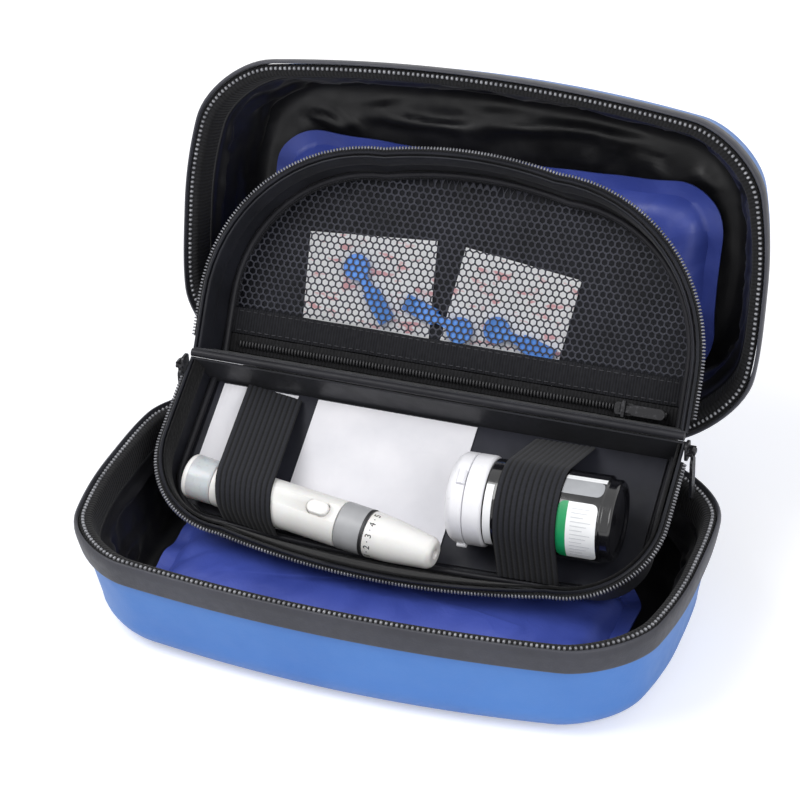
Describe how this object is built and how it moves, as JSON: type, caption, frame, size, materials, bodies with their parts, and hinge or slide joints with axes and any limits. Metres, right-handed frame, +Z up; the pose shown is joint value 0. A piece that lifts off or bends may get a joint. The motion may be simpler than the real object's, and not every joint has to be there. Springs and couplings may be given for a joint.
{
  "type": "insulin cooling case",
  "caption": "Moulded zip case standing open, gel packs in base and lid, with a folding organiser that holds a lancing pen, a strip bottle and a net pocket.",
  "frame": {"origin": "centre of the flat underside of the lower half shell", "axes": "+X along the case, +Y to the hinge at the back, +Z up"},
  "size_m": [0.209, 0.1852, 0.1578],
  "materials": {
    "shell_blue": "moulded foam shell with a satin blue skin",
    "band_grey": "dark grey coated cloth",
    "nylon_black": "black nylon",
    "tape_black": "woven black tape",
    "teeth_grey": "zip coil",
    "gel_blue": "deep blue film over gel",
    "board_grey": "dark grey nylon over a stiff board",
    "elastic_black": "ribbed elastic",
    "paper_white": "coated paper",
    "plastic_white": "white moulded plastic",
    "plastic_grey": "grey moulded plastic",
    "plastic_black": "gloss black plastic",
    "lancet_blue": "blue moulded plastic",
    "slider_black": "black painted metal"
  },
  "bodies": {
    "base": {"base_shell": "shell_blue", "base_lining": "nylon_black", "base_rim_band": "band_grey", "base_zip_tape": "tape_black", "base_zip_teeth": "teeth_grey", "base_gel_pack": "gel_blue", "base_hinge_strip": "band_grey", "case_left_slider": "slider_black", "case_right_slider": "slider_black"},
    "lid": {"lid_shell": "shell_blue", "lid_lining": "nylon_black", "lid_rim_band": "band_grey", "lid_zip_tape": "tape_black", "lid_zip_teeth": "teeth_grey", "lid_gel_pack": "gel_blue", "lid_hinge_strip": "band_grey"},
    "tray": {"organiser_left_slider": "slider_black", "organiser_right_slider": "slider_black", "tray_shell": "nylon_black", "tray_zip_tape": "tape_black", "tray_zip_teeth": "teeth_grey", "tray_piping": "nylon_black", "tray_floor_board": "board_grey", "organiser_fold_cord": "nylon_black", "paper_sachet_left": "paper_white", "paper_sachet_right": "paper_white", "pen_barrel": "plastic_white", "pen_ring": "plastic_grey", "bottle_barrel": "plastic_black", "bottle_collar": "plastic_white", "strap_left": "elastic_black", "strap_right": "elastic_black"},
    "flap": {"flap_shell": "nylon_black", "flap_zip_tape": "tape_black", "flap_zip_teeth": "teeth_grey", "flap_piping": "nylon_black", "pocket_net": "nylon_black", "pocket_band": "tape_black", "pocket_zip_tape": "tape_black", "pocket_zip_teeth": "teeth_grey", "prep_pad_left": "paper_white", "prep_pad_right": "paper_white", "lancet_1": "lancet_blue", "lancet_2": "lancet_blue", "lancet_3": "lancet_blue"},
    "case_left_pull": {"case_left_pull": "slider_black"},
    "organiser_left_pull": {"organiser_left_pull": "slider_black"},
    "case_right_pull": {"case_right_pull": "slider_black"},
    "organiser_right_pull": {"organiser_right_pull": "slider_black"},
    "pen_depth_dial": {"pen_depth_dial": "plastic_white"},
    "pen_plunger": {"pen_cocking_end": "plastic_grey", "pen_lancet_carrier": "plastic_grey"},
    "pen_release_button": {"pen_release_button": "plastic_white"},
    "bottle_lid": {"bottle_lid": "plastic_white"},
    "pocket_slider": {"pocket_slider": "slider_black"},
    "pocket_pull": {"pocket_pull": "slider_black"}
  },
  "joints": [
    {"name": "lid_hinge", "type": "hinge", "parent": "base", "child": "lid", "pos_m": [0, 0.06085, 0.041], "axis": [-1, 0, 0], "range_deg": [-104, 0]},
    {"name": "organiser_rock", "type": "hinge", "parent": "base", "child": "tray", "pos_m": [0, -0.0085, 0.066], "axis": [1, 0, 0], "range_deg": [-30, 0]},
    {"name": "organiser_fold", "type": "hinge", "parent": "tray", "child": "flap", "pos_m": [0, 0.0396, 0.06298], "axis": [-1, 0, 0], "range_deg": [-152, 0]},
    {"name": "case_left_pull_swing", "type": "hinge", "parent": "base", "child": "case_left_pull", "pos_m": [-0.068, 0.06187, 0.0364], "axis": [1, 0, 0], "range_deg": [0, 60]},
    {"name": "case_right_pull_swing", "type": "hinge", "parent": "base", "child": "case_right_pull", "pos_m": [0.068, 0.06187, 0.0364], "axis": [1, 0, 0], "range_deg": [0, 60]},
    {"name": "organiser_left_pull_swing", "type": "hinge", "parent": "tray", "child": "organiser_left_pull", "pos_m": [-0.0916, 0.03689, 0.05968], "axis": [0, 1, 0], "range_deg": [0, 80]},
    {"name": "organiser_right_pull_swing", "type": "hinge", "parent": "tray", "child": "organiser_right_pull", "pos_m": [0.0916, 0.03689, 0.05968], "axis": [0, -1, 0], "range_deg": [0, 80]},
    {"name": "pocket_zip_run", "type": "slide", "parent": "flap", "child": "pocket_slider", "axis": [-1, 0, 0], "range_m": [0, 0.1335]},
    {"name": "pocket_pull_swing", "type": "hinge", "parent": "pocket_slider", "child": "pocket_pull", "pos_m": [0.0632, 0.05315, 0.06071], "axis": [0, -0.5299, -0.848], "range_deg": [0, 110]},
    {"name": "pen_dial_turn", "type": "hinge", "parent": "tray", "child": "pen_depth_dial", "pos_m": [-0.0757, 0.00526, 0.03646], "axis": [0.9916, -0.1117, -0.0645], "range_deg": [-72, 72]},
    {"name": "pen_cocking_pull", "type": "slide", "parent": "tray", "child": "pen_plunger", "axis": [-0.9916, 0.1117, 0.0645], "range_m": [0, 0.0025], "stiffness_N_per_m": 200},
    {"name": "pen_button_press", "type": "slide", "parent": "tray", "child": "pen_release_button", "axis": [0, 0.5, -0.866], "range_m": [0, 0.0012], "stiffness_N_per_m": 400},
    {"name": "bottle_lid_flip", "type": "hinge", "parent": "tray", "child": "bottle_lid", "pos_m": [0.0242, 0.0009, 0.05888], "axis": [-0.0262, 0.8657, 0.4998], "range_deg": [0, 100]}
  ],
  "couplings": [
    {"joint": "organiser_rock", "follows": "lid_hinge", "ratio": 0.28846},
    {"joint": "organiser_fold", "follows": "lid_hinge", "ratio": 1.4615}
  ]
}
